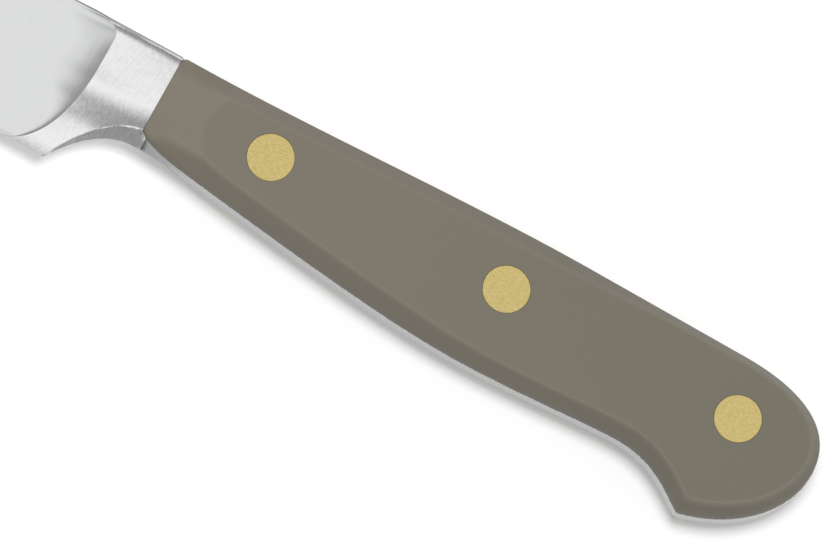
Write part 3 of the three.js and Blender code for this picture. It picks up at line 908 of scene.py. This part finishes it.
# %% The scallops
SCALLOP_START = 16.0
SCALLOP_END = 5.0
SCALLOP_PITCH = 5.5
SCALLOP_DEPTH = 1.1
SCALLOP_LEAN = math.radians(14)
EDGE_STEP = 0.25
scallop_sag = SCALLOP_DEPTH * math.sin(SCALLOP_LEAN)
SCALLOP_RADIUS = ((SCALLOP_PITCH / 2) ** 2 + scallop_sag ** 2) / (2 * scallop_sag)


def find_scallops():
    scallops = []
    walked = 0
    x = HEEL_X
    here = Vector((x, edge_height(x)))
    wanted = SCALLOP_START + SCALLOP_PITCH / 2
    while x > POINT_X:
        x -= EDGE_STEP
        there = Vector((x, edge_height(x)))
        walked += (there - here).length
        if walked > wanted:
            scallops.append((there, (there - here).normalized()))
            wanted += SCALLOP_PITCH
        here = there
    while scallops and (scallops[-1][0] - here).length < SCALLOP_END + SCALLOP_PITCH / 2:
        scallops.pop()
    return scallops


SCALLOPS = find_scallops()


def scallop_height(x, y):
    lowest = SPINE_HALF
    for place, heading in SCALLOPS:
        along = (x - place.x) * heading.x + (y - place.y) * heading.y
        if abs(along) < SCALLOP_PITCH:
            above = (x - place.x) * heading.y - (y - place.y) * heading.x
            bow = SCALLOP_RADIUS - math.sqrt(SCALLOP_RADIUS ** 2 - along ** 2)
            rise = math.tan(SCALLOP_LEAN) * (above - SCALLOP_DEPTH) + bow / math.cos(SCALLOP_LEAN)
            lowest = min(lowest, rise - GRIND_HALF)
    return lowest


print(len(SCALLOPS), "scallops")

# %% [markdown]
# ## The bolster
#
# Behind the blade the steel swells into a crowned neck as thick as the handle's front, with soft
# rounds and a chamfer along its spine. The blade is ground up to a bowed ridge, which swells a little
# towards the edge, and the stone leaves a hollow of nearly even steepness in front of it. Below, the
# neck drops over a soft step to a thin, bowed foot, which fades towards the scales and ends at the
# heel. A finger arc is cut out behind the heel. Sculpting could find such a shape, but formulas for
# the thickness at each place keep it clean and easy to change.

# %% The sections of the bolster
RIDGE_X = -9.7
RIDGE_EDGE_SWEEP = 7.5
RIDGE_SPINE_SWEEP = 4.6
RIDGE_SPINE_START = 4.72
RIDGE_LOSS = 0.8
RIDGE_SWELL = 0.5
HOLLOW_STEEP = (0.75, 0.85)
STEEP_LOW = -6.5
HOLLOW_FADE = 4.0
FADE_START = 2.0
HOLLOW_TURN = math.radians(25)
RUN_OUT = 0.55
RUN_OUT_START = 5.72
STEP_SOFTNESS = 0.4
FOOT_TOP = -6.3
FOOT_HALF = 1.76
FOOT_FADE = 0.5
FOOT_LOW = 0.5
FOOT_POWER = 2
ROUND_POWER = 4
HEEL_ROUND = 2.2
HEEL_LOSS = 0.42


def quarter_bow(share):
    return 1 - math.sqrt(1 - share ** 2)


def spine_bow(y):
    high = clamp((y - RIDGE_SPINE_START) / (SPINE - RIDGE_SPINE_START))
    return RIDGE_SPINE_SWEEP * quarter_bow(high)


def ridge_sweep(y):
    return RIDGE_X - RIDGE_EDGE_SWEEP * quarter_bow(clamp(y / EDGE)) - spine_bow(y)


def bolster_half(share, y):
    round_start = mix(ROUND_FRONT, ROUND_REAR, share ** ROUND_POWER)
    into_run_out = clamp((y - RUN_OUT_START) / (SPINE - RUN_OUT_START))
    loss = (RIDGE_LOSS - RIDGE_SWELL * clamp(y / STEEP_LOW)) * (1 - share)
    loss += RUN_OUT * into_run_out ** 2 * (1 - share) ** 3
    neck = FRONT_HEIGHT - loss - share * neck_crown(y) - neck_rounds(y, round_start)
    foot_rise = clamp((y - EDGE) / (FOOT_TOP - EDGE)) ** FOOT_POWER
    foot = mix(FOOT_LOW, FOOT_HALF * (1 - FOOT_FADE * share), foot_rise)
    foot -= HEEL_LOSS * clamp((EDGE + HEEL_ROUND - y) / HEEL_ROUND) ** 2
    return -smooth_min(-neck, -foot, STEP_SOFTNESS)


print(f"ridge from {ridge_sweep(EDGE):.1f} to {ridge_sweep(SPINE):.1f} mm")

# %% [markdown]
# The finger arc isn't cut straight through. For the finger's comfort its underside is a blunt keel, so
# its sides lie higher than its middle, most of all at the scales, whose front corners it meets. Behind
# them the keel runs out, and the tang stands a hair proud of the scales.

# %% The underside of the finger arc
ARC_TOP = -6.9
ARC_PULL = 5.7
ARC_HALF = 2.4
ARC_THIN = 0.1
THIN_POWER = 0.7
LIFT_POWER = 0.6
FLUSH_X = 12.0
KEEL_ROUND = 0.02
PROUD = 0.1


def keel_share(share):
    return (math.hypot(share, KEEL_ROUND) - KEEL_ROUND) / (math.hypot(1, KEEL_ROUND) - KEEL_ROUND)


def finger_height(x, z):
    if x >= FLUSH_X:
        return max(height_at(lower_line, x) - PROUD, HOOK.y)
    if x > 0:
        edge = height_at(scale_lower_line, x) - PROUD * x / FLUSH_X
        keel = mix(ARC_TOP, height_at(lower_line, FLUSH_X) - PROUD, (x / FLUSH_X) ** 2)
        return mix(min(keel, edge), edge, keel_share(min(abs(z) / TANG_FACE, 1)))
    if x <= HEEL_X:
        return EDGE
    share = share_on_arc(-x, 0, ARC_PULL, -HEEL_X)
    half = mix(ARC_HALF, ARC_THIN, share ** THIN_POWER)
    half = mix(TANG_FACE, half, clamp(-x / TANG_FACE))
    lift = (CORNER_TOP.y - ARC_TOP) * (1 - share) ** LIFT_POWER
    return mix(ARC_TOP, EDGE, share ** 2) + lift * keel_share(min(abs(z) / half, 1))


print(f"keel {finger_height(0, 0):.1f}, its sides {finger_height(0, TANG_FACE):.1f} mm at the scales")

# %% [markdown]
# ## One skin over the whole forging
#
# A grid again gives the skin, this time rolled into a tube round the knife. Every column is a section:
# it crosses the underside, climbs the left face, crosses the spine and comes down the right face.
# The columns of the bolster bend with the ridge, so that the ridge itself is one clean line of edges.

# %% Describe the sections
UNDER_STEPS = 20
CLIMB_STEPS = 62
TOP_STEPS = 10
SPINE_STEPS = 4
FACE_STEPS = CLIMB_STEPS + TOP_STEPS
TOP_PART = 10
CLIMB_EVEN = 0.4
SEARCH_STEPS = 40


def first_height(inside, low, high):
    for _ in range(SEARCH_STEPS):
        middle = (low + high) / 2
        if inside(middle):
            high = middle
        else:
            low = middle
    return high


def section(place, half_left, half_right, low, top, floor_at):
    top_start = top - min(SPINE - TOP_START, (top - low) / TOP_PART)
    climb = [step / CLIMB_STEPS for step in range(CLIMB_STEPS)]
    shares = [CLIMB_EVEN * share + (1 - CLIMB_EVEN) * share ** 2 for share in climb]
    heights = [mix(low, top_start, share) for share in shares]
    heights += [mix(top_start, top, step / TOP_STEPS) for step in range(TOP_STEPS + 1)]
    left = [Vector((place(y), y, half_left(y))) for y in heights]
    right = [Vector((place(y), y, -half_right(y))) for y in reversed(heights)]
    spine = [left[-1].lerp(right[0], step / SPINE_STEPS) for step in range(1, SPINE_STEPS)]
    under = []
    for step in range(1, UNDER_STEPS):
        z = mix(right[-1].z, left[0].z, step / UNDER_STEPS)
        y = floor_at(z)
        under.append(Vector((place(y), y, z)))
    return left + spine + right + under + left[:1]


print(2 * FACE_STEPS + SPINE_STEPS + UNDER_STEPS, "faces round a section")

# %% [markdown]
# The blade's sections bow more and more towards the ridge. Where a scallop has eaten the edge away,
# a section starts a little higher, at the place where the steel is again as thick as the edge.

# %% Sections of the blade and of the hollow
BLADE_COLUMNS = 340
HOLLOW_COLUMNS = 24
EDGE_TOLERANCE = 0.99


def hollow_length(y):
    rise = bolster_half(0, y) - blade_half(RIDGE_X, y)
    steepness = mix(*HOLLOW_STEEP, clamp(y / STEEP_LOW))
    fade = HOLLOW_FADE * ease((y - FADE_START) / (SPINE - FADE_START))
    return 2 * max(rise, 0) / steepness + fade


HOLLOW_X = RIDGE_X - hollow_length(0)


def blade_section(x):
    straight_start = POINT_X + BELLY_LENGTH
    bow = clamp((x - straight_start) / (HOLLOW_X - straight_start)) ** 2

    def place(y):
        return x + bow * (ridge_sweep(y) - hollow_length(y) - HOLLOW_X)

    def half_left(y):
        return min(blade_half(place(y), y), scallop_height(place(y), y))

    def half_right(y):
        return blade_half(place(y), y)

    def is_steel(y):
        return half_left(y) + half_right(y) > 2 * EDGE_TOLERANCE * EDGE_HALF

    edge = edge_height(x)
    low = first_height(is_steel, edge, edge + 2 * SCALLOP_DEPTH)
    if is_steel(edge):
        low = edge
    return section(place, half_left, half_right, low, spine_height(x), lambda z: low)


def hollow_section(step):
    turned = HOLLOW_TURN * step / HOLLOW_COLUMNS
    along = math.sin(turned) / math.sin(HOLLOW_TURN)
    rise = (1 - math.cos(turned)) / (1 - math.cos(HOLLOW_TURN))

    def place(y):
        return ridge_sweep(y) - hollow_length(y) * (1 - along)

    def half(y):
        return mix(blade_half(place(y), y), bolster_half(0, y), rise)

    return section(place, half, half, EDGE, SPINE, lambda z: EDGE)


blade_places = [mix(POINT_X, HOLLOW_X, step / BLADE_COLUMNS) for step in range(BLADE_COLUMNS)]
sections = [blade_section(x) for x in blade_places]
sections += [hollow_section(step) for step in range(HOLLOW_COLUMNS)]
print(len(sections), "sections up to the ridge")

# %% [markdown]
# On the bolster the underside isn't flat, because the finger arc has a keel, so each point of it is
# found by halving steps until the section meets the arc. The tang follows the outline of the grip, at
# its own thickness, and a hair-thin joint parts neck and scales. One section starts exactly at the
# corner of the heel and another at the hook, so that both corners stay sharp.

# %% Sections of the bolster and of the tang
BOLSTER_COLUMNS = 90
TANG_COLUMNS = 120
BUTT_CUT = 0.01
JOINT = 0.04
BOW_POWER = 1.5
heel_rest = (RIDGE_X + math.sqrt(RIDGE_X ** 2 - 4 * RIDGE_EDGE_SWEEP * HEEL_X)) / (2 * RIDGE_EDGE_SWEEP)
heel_share = 1 - heel_rest
heel_column = round(heel_share * BOLSTER_COLUMNS)


def bolster_section(step):
    if step < heel_column:
        share = heel_share * step / heel_column
    else:
        share = mix(heel_share, 1, (step - heel_column) / (BOLSTER_COLUMNS - heel_column))

    def place(y):
        low = clamp(y / EDGE)
        bow = mix(quarter_bow(low), low ** BOW_POWER, clamp(share / heel_share))
        rest = 1 - share
        return rest * (RIDGE_X - rest * (RIDGE_EDGE_SWEEP * bow + spine_bow(y))) - JOINT * share

    def half(y):
        return bolster_half(share, y)

    def floor_at(z):
        return first_height(lambda y: y >= finger_height(place(y), z), EDGE, 0)

    low = first_height(lambda y: y >= finger_height(place(y), half(y)), EDGE, 0)
    return section(place, half, half, low, SPINE, floor_at)


def tang_section(x):
    low = finger_height(x, TANG_FACE)
    return section(lambda y: x, lambda y: TANG_FACE, lambda y: TANG_FACE, low,
                   height_at(upper_line, x), lambda z: finger_height(x, z))


sections += [bolster_section(step) for step in range(BOLSTER_COLUMNS + 1)]
tang_length = HANDLE_LENGTH - BUTT_CUT
tang_places = [tang_length * crowd(step / TANG_COLUMNS) for step in range(TANG_COLUMNS + 1)]
hook_step = min(range(TANG_COLUMNS), key=lambda step: abs(tang_places[step] - HOOK.x))
tang_places[hook_step] = HOOK.x
sections += [tang_section(x) for x in tang_places]
print(len(sections), "sections of", len(sections[0]), "points")

# %% [markdown]
# The grid's columns take the sections' points in turn. The first and last row meet again, so doubled
# corners are merged, and the open ends at point and butt are filled. While the grid is still flat,
# each face also gets its finish: that of the blade in front of the ridge, the darker edge steel on the
# spine behind it and under the tang, whose darkness is painted shade, and that of the bolster
# elsewhere, in the finger arc too.

# %% Roll the grid into the forging
CHAMFER_ROWS = 3
ARC_END = 0.7
BLADE_FINISH, BOLSTER_FINISH, SHADED_EDGE_FINISH = range(3)

bm = bmesh.new()
columns = len(sections) - 1
rows = len(sections[0]) - 1
ridge_column = BLADE_COLUMNS + HOLLOW_COLUMNS
spine_row = FACE_STEPS + SPINE_STEPS / 2
under_row = 2 * FACE_STEPS + SPINE_STEPS
bmesh.ops.create_grid(bm, x_segments=columns, y_segments=rows, size=1)


def finish_of(column, row):
    if column < ridge_column:
        return BLADE_FINISH
    on_chamfer = abs(row - spine_row) < CHAMFER_ROWS + SPINE_STEPS / 2
    in_arc = HEEL_X < sections[int(column)][0].x < ARC_END
    if on_chamfer or (row > under_row and not in_arc):
        # The chamfer and the underside take the darker steel, its darkness painted shade.
        return SHADED_EDGE_FINISH
    return BOLSTER_FINISH


for face in bm.faces:
    middle = face.calc_center_median()
    face.material_index = finish_of((middle.x + 1) / 2 * columns, (middle.y + 1) / 2 * rows)
for vert in bm.verts:
    column = round((vert.co.x + 1) / 2 * columns)
    row = round((vert.co.y + 1) / 2 * rows)
    vert.co = sections[column][row]
bmesh.ops.remove_doubles(bm, verts=bm.verts, dist=MERGE_DISTANCE)
bmesh.ops.holes_fill(bm, edges=[edge for edge in bm.edges if edge.is_boundary], sides=0)
forging = finish_piece("brushed_forging", bm, blade_steel)
forging.data.materials.append(bolster_steel)
forging.data.materials.append(shaded_edge_steel)
cut_away(forging, holes)
smooth_piece(forging)
remove_piece(holes)
pieces["blade_forging"] = forging
print("forging:", len(forging.data.polygons), "faces")

# %% [markdown]
# ## Put the pieces on the frame
#
# Each piece takes the place of the solid that it was made from, and rides the knife's only body.


for node, piece in pieces.items():
    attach(piece, "root")
    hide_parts(node)
print(len(pieces), "pieces ride the knife")
